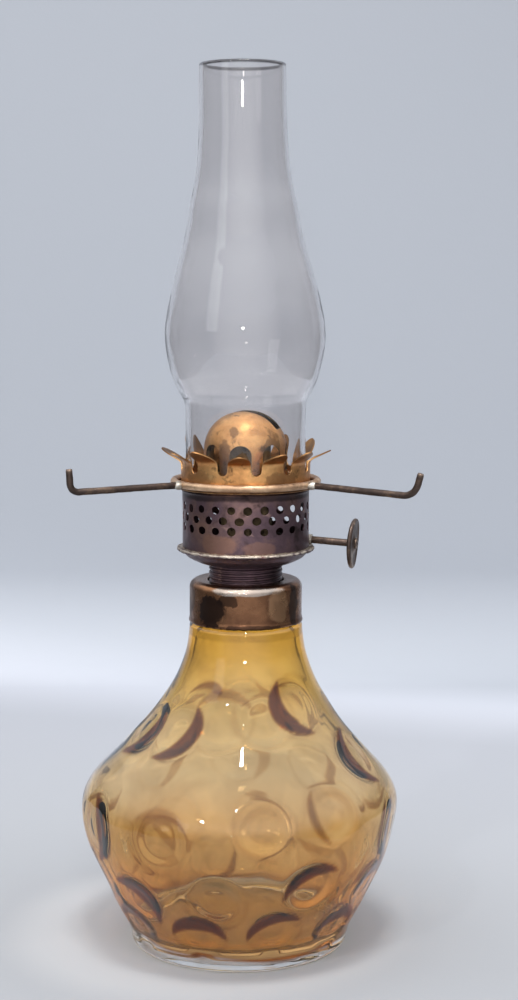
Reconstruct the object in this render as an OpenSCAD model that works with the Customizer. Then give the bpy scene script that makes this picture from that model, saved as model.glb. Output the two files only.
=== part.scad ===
// Oil lamp: a pressed glass font with a flat-wick burner, a glass chimney and
// a swivelling three-arm shade holder. Millimetres, +Z up. The origin is the
// centre of the flat base of the font, and the chimney stands over it.

/* [Font] */
// Diameter of the flat foot the lamp stands on
foot_d = 59.8; // [50:0.1:72]
// Largest diameter of the glass font
belly_d = 86.8; // [72:0.1:104]
// Height of the largest diameter above the table
belly_z = 36.9; // [31:0.1:44]
// Height of the glass up to the lower edge of the collar
font_h = 88.9; // [75:0.1:106]
// Thickness of the glass wall of the font
font_wall = 2.4; // [2:0.1:3]
// Thickness of the solid glass in the base
font_floor = 5.5; // [4:0.1:8]

/* [Collar] */
// Outer diameter of the brass collar
collar_d = 30.8; // [29.5:0.1:36]
// Height of the brass collar
collar_h = 11.6; // [10:0.1:14]
// Sheet thickness of the collar
collar_wall = 0.7; // [0.5:0.05:0.9]

/* [Burner] */
// Crest diameter of the burner's screw thread
thread_d = 20; // [16.6:0.1:24]
// Distance from one thread crest to the next
thread_pitch = 1.2; // [1:0.05:1.6]
// Length of the threaded ferrule below the cup
ferrule_h = 9; // [7:0.1:10]
// Length of thread left showing above the collar
unscrewed = 4.3; // [1:0.1:5]
// Height of the base cup between the thread and the drum
cup_h = 4.5; // [3.8:0.1:6]
// Diameter of the rolled rim of the base cup
rim_d = 37.4; // [36.6:0.1:42]
// Outer diameter of the perforated drum
drum_d = 34.4; // [32.6:0.1:36]
// Height of the perforated drum
drum_h = 16.4; // [14.5:0.1:20]
// Thickness of the burner's sheet brass
sheet = 0.45; // [0.35:0.05:0.5]
// Diameter of each air hole in the drum
air_hole_d = 2.3; // [1.6:0.1:2.6]
// Number of air holes in each row
air_holes = 24; // [16:1:24]

/* [Crown and dome] */
// Number of petals on the crown
petals = 12; // [8:1:14]
// Height from the crown's foot to the bottom of its notches
band_h = 4.6; // [4:0.1:6]
// Height from the crown's foot to the tips of its petals
petal_h = 13.4; // [11:0.1:15]
// Width of the notches between the petals
notch_w = 2.7; // [2:0.1:3.2]
// Outer diameter of the deflector dome
dome_d = 22.6; // [21.6:0.1:25]
// Height of the top of the dome above the crown's foot
dome_h = 21.5; // [20:0.1:25]
// Width of the flame slot in the dome
slot_w = 6; // [5:0.1:7]
// Number of arched windows round the dome
windows = 8; // [6:1:9]

/* [Wick] */
// Width of the flat wick
wick_w = 12.4; // [10:0.1:12.7]
// Thickness of the flat wick
wick_t = 2.2; // [1.8:0.1:2.4]
// Length of the wick that is left
wick_len = 48; // [40:0.5:60]
// Turn of the wick and its shaft about the lamp's axis, in degrees
wick_turn = 13; // [0:0.5:30]

/* [Wick raiser] */
// Diameter of the wick raiser's shaft
shaft_d = 2; // [1.6:0.1:2.2]
// Distance from the middle of the shaft to the middle of the thumbwheel
shaft_reach = 28.8; // [25:0.1:35]
// Droop of the shaft towards the thumbwheel, in degrees
shaft_droop = 3.5; // [0:0.1:4]
// Diameter of the thumbwheel
thumb_d = 13.7; // [11.5:0.1:16.5]
// Diameter over the teeth of the two spur wheels
spur_d = 7.2; // [6.6:0.1:7.6]
// Number of teeth on each spur wheel
spur_teeth = 12; // [10:1:14]

/* [Shade holder] */
// Diameter of the wire of the shade ring
ring_wire = 2.1; // [1.8:0.1:2.3]
// Diameter of the wire of the three arms
arm_wire = 1.8; // [1.5:0.1:2]
// Distance from the lamp's axis to the upturned end of each arm
arm_reach = 52; // [44:0.5:62]
// Height of the upturned ends above the arms
arm_rise = 6.4; // [5:0.1:9]

/* [Chimney] */
// Height of the glass chimney
chimney_h = 109.5; // [92:0.5:131]
// Outer diameter of the chimney's straight base
chimney_base_d = 32.7; // [30.5:0.1:39.5]
// Largest outer diameter of the chimney
bulb_d = 43.4; // [38:0.1:52]
// Outer diameter at the top of the chimney
chimney_top_d = 23.2; // [20:0.1:27]
// Thickness of the chimney's glass
chimney_wall = 1.4; // [1.1:0.1:1.8]

/* [Hidden] */
$fn = 96;
eps = 0.01;

// Clearances
fit = 0.05;        // radial running clearance of the shaft
gap = 0.2;         // between parts of one body that only sit beside each other
swing = 0.3;       // between parts that move past each other
thread_gap = 0.35; // from the burner's thread crests to the collar's bore

// Heights up the lamp
collar_top = font_h + collar_h;
cup_z = collar_top + unscrewed;
rim_z = cup_z + cup_h;
crown_z = rim_z + drum_h;
band_z = crown_z + sheet;
lip_h = 2.1;                       // turned-down rim of the dome
brim_z = band_z + lip_h;
seat_gap = 0.1;
chimney_z = brim_z + seat_gap;
dome_top = crown_z + dome_h;

// Radii round the axis
bore_r = thread_d / 2 + thread_gap;
sleeve_r = bore_r + collar_wall;   // outside of the collar's threaded sleeve
rim_bead = 0.9;                    // thickness of the rolled edge of the base cup
rim_bead_top = 0.15;               // its height over the floor of the cup
neck_in = sleeve_r + gap;
neck_wall = 2;
neck_out = neck_in + neck_wall;
collar_r = max(collar_d / 2, neck_out + 0.5 + collar_wall);
thread_depth = 0.55;
ferrule_in = thread_d / 2 - thread_depth - sheet;
drum_r = drum_d / 2;
drum_in = drum_r - sheet;
band_in = chimney_base_d / 2 + swing;
band_r = band_in + sheet;
foot_r = band_r + 1.8;             // flange of the crown that carries the ring
seat_in = min(band_in, drum_in) - 1.2; // inside edge of the crown's flange, over the drum
lip_r = band_in - fit;
ring_r = band_r + swing + 0.9 + ring_wire / 2;

// Wick and tube
tube_wall = 0.4;
tube_in_w = wick_w + 2 * swing;
tube_in_t = wick_t + 2 * swing;
tube_w = tube_in_w + 2 * tube_wall;
tube_t = tube_in_t + 2 * tube_wall;
tube_top = dome_top - 6;
tube_h = tube_top - cup_z + 6;
wick_top = tube_top - 0.4;

// Wick raiser
mesh_gap = 0.15;                   // from the spur teeth to the face of the wick
shaft_r = shaft_d / 2;
shaft_off = wick_t / 2 + mesh_gap + spur_d / 2;
spur_t = 0.8;
spur_x = 3.2;                      // distance of each spur wheel from the tube's middle
cover_x = 5.2;                     // outside of the spur cover's end walls
shaft_in = -7.5;
bushing_r = shaft_r + fit + 0.4;
bushing_x = sqrt(pow(drum_r, 2) - pow(shaft_off, 2));
bushing_out = 0.9;                 // how far the bushing stands out of the drum
// The shaft is as low as the bushing can lie over the rolled rim
spindle_z = rim_z + rim_bead_top + 0.1 + bushing_r + (bushing_x + bushing_out) * tan(shaft_droop);
thumb_t = 1.3;

// Shade holder
ring_z = band_z + fit + ring_wire / 2;
arm_bend = 2.2;                    // radius of each arm's bend, on its centre line
arm_angles = [210, 328, 90];
arm_droops = [0, 1.8, 0];

// Curves ------------------------------------------------------------------

// A smooth curve through the points p, with n steps between each pair.
function at(p, i) = p[max(0, min(len(p) - 1, i))];
function spline_point(a, b, c, d, t) =
    b + 0.5 * t * (c - a + t * (2 * a - 5 * b + 4 * c - d + t * (3 * (b - c) + d - a)));
function spline(p, n) = concat(
    [for (i = [0 : len(p) - 2], k = [0 : n - 1])
        spline_point(at(p, i - 1), at(p, i), at(p, i + 1), at(p, i + 2), k / n)],
    [p[len(p) - 1]]);

// The path p moved sideways by d, to the left of its direction.
function along(p, i) = at(p, i + 1) - at(p, i - 1);
function inset(p, d) = [for (i = [0 : len(p) - 1])
    let (v = along(p, i) / norm(along(p, i))) p[i] + d * [-v[1], v[0]]];

// A point a share (fr, fz) of the way from a to b.
function between(a, b, fr, fz) = [a[0] + (b[0] - a[0]) * fr, a[1] + (b[1] - a[1]) * fz];

function backwards(p) = [for (i = [len(p) - 1 : -1 : 0]) p[i]];

// Outside of the font, from the foot over the belly to the collar.
foot_pt = [foot_d / 2, 0.8];
belly_pt = [belly_d / 2, belly_z];
neck_pt = [collar_r - 0.1, font_h - 0.7];
font_path = spline([
    foot_pt,
    between(foot_pt, belly_pt, 0.08, 0.12),
    between(foot_pt, belly_pt, 0.33, 0.30),
    between(foot_pt, belly_pt, 0.78, 0.66),
    belly_pt,
    between(belly_pt, neck_pt, 0.075, 0.16),
    between(belly_pt, neck_pt, 0.42, 0.37),
    between(belly_pt, neck_pt, 0.785, 0.63),
    between(belly_pt, neck_pt, 0.95, 0.83),
    neck_pt], 4);

// Outside of the chimney above its straight base, up from the seat.
chimney_base_h = 18.5;
chimney_base_pt = [chimney_base_d / 2, chimney_base_h];
bulb_pt = [bulb_d / 2, 38.5];
waist_pt = [bulb_d / 2 * 0.67, chimney_h * 0.66];
chimney_top_pt = [chimney_top_d / 2, chimney_h];
chimney_path = spline([
    [chimney_base_d / 2, 0],
    chimney_base_pt,
    between(chimney_base_pt, bulb_pt, 0.30, 0.22),
    between(chimney_base_pt, bulb_pt, 0.72, 0.50),
    bulb_pt,
    between(bulb_pt, waist_pt, 0.28, 0.36),
    between(bulb_pt, waist_pt, 0.76, 0.74),
    waist_pt,
    between(waist_pt, chimney_top_pt, 0.55, 0.22),
    between(waist_pt, chimney_top_pt, 0.90, 0.55),
    chimney_top_pt], 4);

// Building blocks ---------------------------------------------------------

module ring(r_out, r_in, h) {
    difference() {
        cylinder(r = r_out, h = h);
        translate([0, 0, -eps]) cylinder(r = r_in, h = h + 2 * eps);
    }
}

// A flat bar with round edges, w wide and t thick.
module flat_bar(w, t) {
    square([w - t, t], center = true);
    for (side = [-1, 1]) translate([side * (w - t) / 2, 0]) circle(d = t);
}

module wick_frame() {
    rotate([0, 0, -wick_turn]) children();
}

// The shaft's own frame: its axis is X, and -Y faces the wick.
module shaft_frame() {
    translate([0, 0, spindle_z]) wick_frame() translate([0, shaft_off, 0])
        rotate([0, shaft_droop, 0]) children();
}

// A round bar along the shaft, from x0 to x1.
module shaft_bar(r, x0, x1) {
    translate([x0, 0, 0]) rotate([0, 90, 0]) cylinder(r = r, h = x1 - x0);
}

// Font --------------------------------------------------------------------

module font() {
    floor_round = 3;
    cavity = [for (q = inset(font_path, font_wall)) if (q[1] > font_floor + floor_round) q];
    floor_edge = cavity[0][0];
    color([0.85, 0.62, 0.25, 0.5]) rotate_extrude() polygon(concat(
        [[0, 0], [foot_d / 2 - 0.8, 0]],
        font_path,
        [[neck_out, font_h + 0.3], [neck_out, collar_top - 3], [neck_in, collar_top - 3],
         [neck_in, font_h + 0.3]],
        backwards([for (q = cavity) if (q[1] < font_h - 3) q]),
        [[floor_edge - 0.6, font_floor + 1.2], [floor_edge - 2.4, font_floor + 0.3],
         [floor_edge - 5, font_floor], [0, font_floor]]));
}

// Collar ------------------------------------------------------------------

// Half section of the collar: rolled bead, wall, rounded shoulder, threaded sleeve.
module collar() {
    r = collar_r;
    round_r = 2.2;
    shoulder = [for (a = [0 : 15 : 90])
        [r - round_r + round_r * cos(a), collar_top - round_r + round_r * sin(a)]];
    sleeve_z = collar_top - 7;
    turns = floor((collar_top - 1.4 - sleeve_z) / thread_pitch);
    groove = 0.3;
    color([0.62, 0.47, 0.25]) {
        rotate_extrude() {
            polygon(concat(
                [[r, font_h + 0.4]],
                shoulder,
                [[bore_r, collar_top], [bore_r, collar_top - 1]],
                [for (k = [0 : turns - 1], s = [0.25, 0.5, 0.75, 1])
                    [bore_r + (s == 0.5 ? groove : s == 0.75 ? groove : 0),
                     collar_top - 1 - (k + s) * thread_pitch]],
                [[bore_r, sleeve_z], [sleeve_r, sleeve_z], [sleeve_r, collar_top - collar_wall]],
                backwards([for (q = inset(shoulder, collar_wall)) if (q[0] > sleeve_r) q]),
                [[r - collar_wall, font_h + 0.4]]));
            translate([r - collar_wall + 0.5, font_h + 0.5]) circle(d = 1, $fn = 24);
        }
    }
}

// Plaster that sets the collar on the neck.
module collar_plaster() {
    color([0.85, 0.82, 0.74]) translate([0, 0, font_h + 1.2])
        ring(collar_r - collar_wall, neck_out, collar_top - 4.6 - font_h);
}

// Burner ------------------------------------------------------------------

// Spun cup: threaded ferrule, bowl and rim with a rolled edge.
module base_cup() {
    crest = thread_d / 2;
    root = crest - thread_depth;
    ledge_r = crest - 0.2;
    rim_r = rim_d / 2;
    turns = floor((ferrule_h - 0.4) / thread_pitch);
    thread = [for (k = [0 : turns - 1], s = [0, 0.3, 0.5, 0.8])
        [s == 0.3 ? crest : s == 0.5 ? crest : root, cup_z - ferrule_h + 0.2 + (k + s) * thread_pitch]];
    color([0.36, 0.29, 0.24]) rotate_extrude() {
        polygon(concat(
            [[ferrule_in, cup_z - ferrule_h], [root, cup_z - ferrule_h]],
            thread,
            [[root, cup_z - 0.2],
             [crest + 0.4, cup_z],
             [crest + 2.6, cup_z + 0.5],
             [drum_r - 1.6, cup_z + cup_h * 0.42],
             [drum_r - 0.6, cup_z + cup_h * 0.66],
             [drum_r + 0.2, rim_z - 0.9],
             [rim_r - rim_bead / 2, rim_z - sheet],
             [rim_r - rim_bead / 2, rim_z],
             [drum_r - 1.2, rim_z],
             [drum_r - 1.2, rim_z - 0.7],
             [drum_r - 1.7, cup_z + cup_h * 0.62],
             [drum_r - 2.9, cup_z + cup_h * 0.42],
             [crest + 2.3, cup_z + 1],
             [ledge_r, cup_z + 0.7],
             [ledge_r, cup_z],
             [ferrule_in, cup_z]]));
        translate([rim_r - rim_bead / 2, rim_z + rim_bead_top - rim_bead / 2])
            circle(d = rim_bead, $fn = 24);
    }
}

// Disc that closes the ferrule and carries the wick tube and the vent tube.
vent_r = 1.3;
vent_pos = [1.5, -(tube_t / 2 + vent_r + 0.8)];
module tube_plate() {
    plate_t = 0.6;
    color([0.60, 0.46, 0.26]) difference() {
        translate([0, 0, cup_z]) cylinder(r = thread_d / 2 - 0.25, h = plate_t);
        wick_frame() {
            translate([0, 0, cup_z - 1]) linear_extrude(3) flat_bar(tube_w, tube_t);
            translate([vent_pos[0], vent_pos[1], cup_z - 1]) cylinder(r = vent_r, h = 3);
        }
    }
}

// Perforated drum: three rows of holes, the middle row half a step round.
hole_rows = [6.2, 9.0, 11.8];
module air_drum() {
    step = 360 / air_holes;
    color([0.33, 0.26, 0.25]) difference() {
        union() {
            translate([0, 0, rim_z]) ring(drum_r, drum_in, drum_h);
            translate([0, 0, crown_z - 1.1]) ring(drum_r + 0.3, drum_r - eps, 0.7);
        }
        for (row = [0 : len(hole_rows) - 1], k = [0 : air_holes - 1])
            rotate([0, 0, (k + (row % 2) / 2) * step - wick_turn])
                translate([drum_in - 1, 0, rim_z + hole_rows[row]])
                    rotate([0, 90, 0]) cylinder(d = air_hole_d, h = sheet + 2, $fn = 24);
        shaft_frame() shaft_bar(bushing_r, bushing_x - 3, bushing_x + 3);
    }
}

// Perforated plate under the dome, which evens out the draught.
plate_z = crown_z - 1.4;
module air_plate() {
    rows = [9.8, 12.4, 14.8];
    counts = [16, 22, 28];
    color([0.45, 0.36, 0.22]) difference() {
        union() {
            translate([0, 0, plate_z]) cylinder(r = drum_in - fit, h = sheet);
            translate([0, 0, plate_z]) ring(drum_in - fit, drum_in - fit - sheet, 1.4);
        }
        wick_frame() translate([0, 0, plate_z - 1]) linear_extrude(4)
            flat_bar(tube_w + 2 * fit, tube_t + 2 * fit);
        for (n = [0 : len(rows) - 1], k = [0 : counts[n] - 1])
            rotate([0, 0, k * 360 / counts[n]]) translate([rows[n], 0, plate_z - 1])
                cylinder(d = 1.5, h = 3, $fn = 16);
    }
}

// Crown: a flange on the drum, a band round the chimney and flared petals.
petal_bend = 7;                    // height at which the petals start to flare
petal_flare = 4.4;                 // how far out the tips stand
function petal_out(z) = z < petal_bend ? 0
    : petal_flare * pow((z - petal_bend) / (petal_h - petal_bend), 1.4);
module crown() {
    steps = 6;
    flare = [for (k = [0 : steps])
        let (z = petal_bend + (petal_h - petal_bend) * k / steps) [petal_out(z), z]];
    pitch = 360 / petals;
    half = PI * band_r / petals;
    tip = half - 0.2;
    // Right half of a notch: round bottom, straight side, then round the petal's tip
    side = concat(
        [for (a = [-90 : 15 : 0]) [notch_w / 2 * cos(a), band_h + notch_w / 2 * (1 + sin(a))]],
        [for (a = [0 : 15 : 90]) [half + 1.2 - (half + 1.2 - notch_w / 2) * cos(a),
                                  petal_h - 3.4 + 3.4 * sin(a)]],
        [[half + 1.2, petal_h + 2]]);
    color([0.72, 0.55, 0.28]) translate([0, 0, crown_z]) difference() {
        rotate_extrude() polygon(concat(
            [[seat_in, 0], [foot_r, 0], [foot_r, sheet], [band_r, sheet]],
            [for (q = flare) [band_r + q[0], q[1]]],
            backwards([for (q = flare) [band_in + q[0], q[1]]]),
            [[band_in, sheet], [seat_in, sheet]]));
        for (k = [0 : petals - 1])
            rotate([0, 0, -80.6 + k * pitch]) translate([band_in - 3, 0, 0])
                rotate([90, 0, 90]) linear_extrude(12)
                    polygon(concat(side, backwards([for (q = side) [-q[0], q[1]]])));
    }
}

// Deflector dome: hemisphere on a windowed wall, with a brim the chimney stands on.
module dome() {
    r = dome_d / 2;
    centre_z = dome_top - r;
    window_w = 5.6;
    window_z = brim_z + 2.6;
    arch_z = centre_z + 0.7 - window_w / 2;
    color([0.74, 0.57, 0.28]) difference() {
        rotate_extrude() polygon(concat(
            [for (a = [0 : 10 : 90]) [r * cos(a), centre_z + r * sin(a)]],
            [for (a = [90 : -10 : 0]) [(r - sheet) * cos(a), centre_z + (r - sheet) * sin(a)]],
            [[r - sheet, brim_z - sheet], [lip_r - sheet, brim_z - sheet],
             [lip_r - sheet, band_z], [lip_r, band_z], [lip_r, brim_z], [r, brim_z]]));
        wick_frame() translate([-r - 1, -slot_w / 2, centre_z + r * 0.55])
            cube([2 * r + 2, slot_w, r]);
        for (k = [0 : windows - 1])
            rotate([0, 0, -97 + k * 360 / windows]) translate([r - 2, 0, 0])
                rotate([90, 0, 90]) linear_extrude(4) {
                    translate([-window_w / 2, window_z]) square([window_w, arch_z - window_z]);
                    translate([0, arch_z]) circle(d = window_w);
                }
    }
}

// Flat tube round the wick, with a window for each spur wheel.
module wick_tube() {
    window_w = spur_t + 2 * swing;
    color([0.58, 0.45, 0.25]) difference() {
        wick_frame() translate([0, 0, tube_top - tube_h]) difference() {
            linear_extrude(tube_h) flat_bar(tube_w, tube_t);
            translate([0, 0, -eps]) linear_extrude(tube_h + 2 * eps)
                flat_bar(tube_in_w, tube_in_t);
        }
        shaft_frame() for (side = [-1, 1])
            translate([side * spur_x - window_w / 2, -shaft_off, -2.8])
                cube([window_w, shaft_off, 5.6]);
    }
}

// Small tube beside the wick that lets air into the font.
module vent_tube() {
    color([0.58, 0.45, 0.25]) wick_frame()
        translate([vent_pos[0], vent_pos[1], cup_z - 5]) ring(vent_r, vent_r - 0.35, 15);
}

// Sheet box over the spur wheels; its end walls carry the shaft.
module spur_cover() {
    back_y = spur_d / 2 + swing + tube_wall;
    face_y = tube_t / 2 - shaft_off;
    top_z = spur_d / 2 + swing + tube_wall;
    low_z = -1.8;
    color([0.5, 0.4, 0.24]) shaft_frame() difference() {
        translate([-cover_x, face_y, low_z]) cube([2 * cover_x, back_y - face_y, top_z - low_z]);
        translate([-cover_x + tube_wall, face_y - 1, low_z - 1])
            cube([2 * (cover_x - tube_wall), back_y - face_y + 1 - tube_wall,
                  top_z - low_z + 1 - tube_wall]);
        shaft_bar(shaft_r + fit, -cover_x - 1, cover_x + 1);
    }
}

// Short sleeve that carries the shaft through the wall of the drum.
module shaft_bushing() {
    color([0.55, 0.5, 0.38]) shaft_frame() difference() {
        shaft_bar(bushing_r, bushing_x - 1.6, bushing_x + bushing_out);
        shaft_bar(shaft_r + fit, bushing_x - 3, bushing_x + 3);
    }
}

// Wick raiser -------------------------------------------------------------

module spindle() {
    color([0.3, 0.24, 0.18]) shaft_frame()
        shaft_bar(shaft_r, shaft_in, shaft_reach + thumb_t / 2);
}

// Star wheel whose teeth bite the face of the wick.
module spur_wheel(side) {
    root_r = spur_d / 2 - 0.9;
    color([0.62, 0.5, 0.28]) shaft_frame() translate([side * spur_x, 0, 0]) rotate([0, 90, 0])
        translate([0, 0, -spur_t / 2]) difference() {
            linear_extrude(spur_t) polygon([for (k = [0 : spur_teeth - 1], s = [0, 0.5])
                let (a = (k + s) * 360 / spur_teeth, r = s == 0 ? spur_d / 2 : root_r)
                    [r * cos(a), r * sin(a)]]);
            translate([0, 0, -1]) cylinder(r = shaft_r, h = spur_t + 2);
        }
}

module spur_wheel_left() {
    spur_wheel(-1);
}

module spur_wheel_right() {
    spur_wheel(1);
}

// Pressed disc with a rounded, raised edge and a hub.
module thumbwheel() {
    r = thumb_d / 2;
    half = thumb_t / 2;
    web = 0.3;
    color([0.33, 0.27, 0.21]) shaft_frame() translate([shaft_reach, 0, 0]) rotate([0, 90, 0])
        rotate_extrude() polygon(concat(
            [[shaft_r, -half], [shaft_r + 1, -half], [shaft_r + 1.3, -web], [r - 1.9, -web]],
            [for (a = [-120 : 30 : 120]) [r - half + half * cos(a), half * sin(a)]],
            [[r - 1.9, web], [shaft_r + 1.3, web], [shaft_r + 1, half], [shaft_r, half]]));
}

// Riveted end of the shaft that holds the thumbwheel on.
module wheel_rivet() {
    head_r = shaft_r + 0.5;
    color([0.42, 0.35, 0.27]) shaft_frame() translate([shaft_reach + thumb_t / 2, 0, 0])
        rotate([0, 90, 0]) rotate_extrude()
            polygon([[0, 0], [head_r, 0], [head_r - 0.15, 0.3], [head_r - 0.6, 0.55], [0, 0.65]]);
}

module wick() {
    color([0.8, 0.76, 0.68]) wick_frame() translate([0, 0, wick_top - wick_len])
        linear_extrude(wick_len) flat_bar(wick_w, wick_t);
}

// Shade holder ------------------------------------------------------------

module shade_ring() {
    color([0.55, 0.5, 0.4]) translate([0, 0, ring_z]) rotate_extrude()
        translate([ring_r, 0]) circle(d = ring_wire, $fn = 32);
}

// Solid of one arm along +X: straight wire, bend and upturned end.
module arm_shape(r) {
    straight = arm_reach - arm_bend - ring_r;
    rotate([0, 90, 0]) cylinder(r = r, h = straight, $fn = 32);
    translate([straight, 0, arm_bend]) rotate([90, 0, 0]) rotate([0, 0, -90])
        rotate_extrude(angle = 90) translate([arm_bend, 0]) circle(r = r, $fn = 32);
    translate([straight + arm_bend, 0, arm_bend])
        cylinder(r = r, h = arm_rise - arm_bend, $fn = 32);
}

module arm_frame(k) {
    translate([0, 0, ring_z]) rotate([0, 0, arm_angles[k]]) translate([ring_r, 0, 0])
        rotate([0, arm_droops[k], 0]) children();
}

module shade_arm(k) {
    color([0.33, 0.28, 0.2]) difference() {
        arm_frame(k) arm_shape(arm_wire / 2);
        shade_ring();
    }
}

module shade_arm_left() {
    shade_arm(0);
}

module shade_arm_right() {
    shade_arm(1);
}

module shade_arm_rear() {
    shade_arm(2);
}

// A bead of solder where each arm meets the ring.
module arm_solder() {
    bead = ring_wire / 2 + 0.25;
    color([0.62, 0.58, 0.5]) difference() {
        for (k = [0 : len(arm_angles) - 1]) arm_frame(k) rotate([0, 90, 0]) rotate_extrude()
            polygon([[0, 0.6], [bead - 0.15, 0.7], [bead, 1.3], [bead - 0.2, 2.0],
                     [arm_wire / 2 + 0.1, 3.2], [0, 3.3]]);
        shade_ring();
        for (k = [0 : len(arm_angles) - 1]) arm_frame(k) arm_shape(arm_wire / 2);
    }
}

// Chimney -----------------------------------------------------------------

module chimney() {
    color([0.85, 0.9, 0.95, 0.3]) translate([0, 0, chimney_z]) rotate_extrude()
        polygon(concat(chimney_path, backwards(inset(chimney_path, chimney_wall))));
}

font();
collar();
collar_plaster();
base_cup();
tube_plate();
air_drum();
air_plate();
crown();
dome();
wick_tube();
vent_tube();
spur_cover();
shaft_bushing();
spindle();
spur_wheel_left();
spur_wheel_right();
thumbwheel();
wheel_rivet();
wick();
shade_ring();
shade_arm_left();
shade_arm_right();
shade_arm_rear();
arm_solder();
chimney();
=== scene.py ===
"""Small oil lamp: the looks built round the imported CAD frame. Metres, +Z up."""
import math
import random

import bmesh
import bpy
from mathutils import Matrix, Vector, noise


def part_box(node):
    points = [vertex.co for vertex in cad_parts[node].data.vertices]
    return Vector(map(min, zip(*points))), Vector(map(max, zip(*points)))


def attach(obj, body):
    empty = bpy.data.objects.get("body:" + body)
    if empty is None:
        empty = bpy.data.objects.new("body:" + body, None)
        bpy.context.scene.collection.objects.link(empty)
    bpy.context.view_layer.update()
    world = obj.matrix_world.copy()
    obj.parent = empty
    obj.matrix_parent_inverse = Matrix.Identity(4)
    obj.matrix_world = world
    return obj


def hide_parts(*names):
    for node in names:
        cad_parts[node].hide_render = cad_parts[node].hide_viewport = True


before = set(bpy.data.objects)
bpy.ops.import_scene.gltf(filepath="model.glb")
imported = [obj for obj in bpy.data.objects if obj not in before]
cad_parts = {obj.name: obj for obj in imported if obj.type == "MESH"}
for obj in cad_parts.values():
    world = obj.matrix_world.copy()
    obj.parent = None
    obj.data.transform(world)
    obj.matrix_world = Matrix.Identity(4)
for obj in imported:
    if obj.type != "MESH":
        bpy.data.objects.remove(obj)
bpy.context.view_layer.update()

MM = 0.001
TAU = 2 * math.pi
scene = bpy.context.scene

# ---------------------------------------------------------------------------
# Sizes in millimetres: the ones that call a function come from the frame


def top(node):
    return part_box(node)[1].z / MM


def bottom(node):
    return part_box(node)[0].z / MM


def radius(node):
    low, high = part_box(node)
    return (high.x - low.x) / 2 / MM


BELLY_R = 43.4
FOOT_R = 29.9
BELLY_Z = 36.9
COLLAR_R = radius("collar") - 0.3
FONT_H = bottom("collar")
COLLAR_TOP = top("collar")
CUP_TOP = top("base_cup") - 0.15
CUP_Z = CUP_TOP - 4.5
DRUM_R = radius("air_drum") - 0.3
DRUM_Z = bottom("air_drum")
CROWN_Z = bottom("crown")
BRIM_Z = bottom("chimney") - 0.1
DOME_TOP = top("dome")
DOME_R = 11.3
CHIMNEY_Z = bottom("chimney")
CHIMNEY_H = top("chimney") - CHIMNEY_Z
CHIMNEY_BASE_R = 16.35
BULB_R = radius("chimney")
RING_Z = (top("shade_ring") + bottom("shade_ring")) / 2
RING_R = radius("shade_ring") - 1.05
WICK_TURN = math.radians(13)
SHAFT_OFF = 4.85
SHAFT_DROOP = math.radians(3.5)
SHAFT_REACH = 28.8

# ---------------------------------------------------------------------------
# Curves and mesh building


def at(points, i):
    return points[max(0, min(len(points) - 1, i))]


def spline(points, steps):
    """A smooth Catmull-Rom curve through 2-D points."""
    out = []
    for i in range(len(points) - 1):
        a, b, c, d = at(points, i - 1), at(points, i), at(points, i + 1), at(points, i + 2)
        for k in range(steps):
            t = k / steps
            out.append(tuple(
                b[n] + 0.5 * t * (c[n] - a[n] + t * (2 * a[n] - 5 * b[n] + 4 * c[n] - d[n]
                                                     + t * (3 * (b[n] - c[n]) + d[n] - a[n])))
                for n in (0, 1)))
    out.append(tuple(points[-1]))
    return out


def between(a, b, fr, fz):
    return (a[0] + (b[0] - a[0]) * fr, a[1] + (b[1] - a[1]) * fz)


def inset(path, d):
    """The path moved sideways by d, to the left of its direction."""
    out = []
    for i, p in enumerate(path):
        q, r = at(path, i - 1), at(path, i + 1)
        dx, dz = r[0] - q[0], r[1] - q[1]
        n = math.hypot(dx, dz) or 1
        out.append((p[0] - d * dz / n, p[1] + d * dx / n))
    return out


def resample(path, step):
    """Points along a path about one step apart, with its ends kept."""
    lengths = [0.0]
    for p, q in zip(path, path[1:]):
        lengths.append(lengths[-1] + math.dist(p, q))
    count = max(2, round(lengths[-1] / step))
    out, i = [], 0
    for k in range(count + 1):
        s = lengths[-1] * k / count
        while i < len(path) - 2 and lengths[i + 1] < s:
            i += 1
        span = lengths[i + 1] - lengths[i] or 1
        t = (s - lengths[i]) / span
        out.append(tuple(path[i][n] + (path[i + 1][n] - path[i][n]) * t for n in (0, 1)))
    return out


def smooth(a, b, x):
    t = max(0.0, min(1.0, (x - a) / (b - a)))
    return t * t * (3 - 2 * t)


def arc(cx, cz, r, a0, a1, steps):
    """Points on an arc in the (r, z) plane, angles in degrees."""
    return [(cx + r * math.cos(math.radians(a0 + (a1 - a0) * k / steps)),
             cz + r * math.sin(math.radians(a0 + (a1 - a0) * k / steps))) for k in range(steps + 1)]


def polar(r, a, z):
    """The point at radius r, angle a and height z."""
    return Vector((r * math.cos(a), r * math.sin(a), z))


def quads(rows, count, first=0, closed=True):
    """Faces between rows of points that start at one index, each row closed into a ring or open."""
    stride = count if closed else count + 1
    faces = []
    for j in range(rows):
        for i in range(count):
            n = (i + 1) % count if closed else i + 1
            a, b = first + j * stride, first + (j + 1) * stride
            faces.append((a + i, a + n, b + n, b + i))
    return faces


def merge_points(obj, distance, recalculate=False):
    """Joins points that lie closer than a distance in metres."""
    bm = bmesh.new()
    bm.from_mesh(obj.data)
    bmesh.ops.remove_doubles(bm, verts=bm.verts, dist=distance)
    if recalculate:
        bmesh.ops.recalc_face_normals(bm, faces=bm.faces)
    bm.to_mesh(obj.data)
    bm.free()


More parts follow.
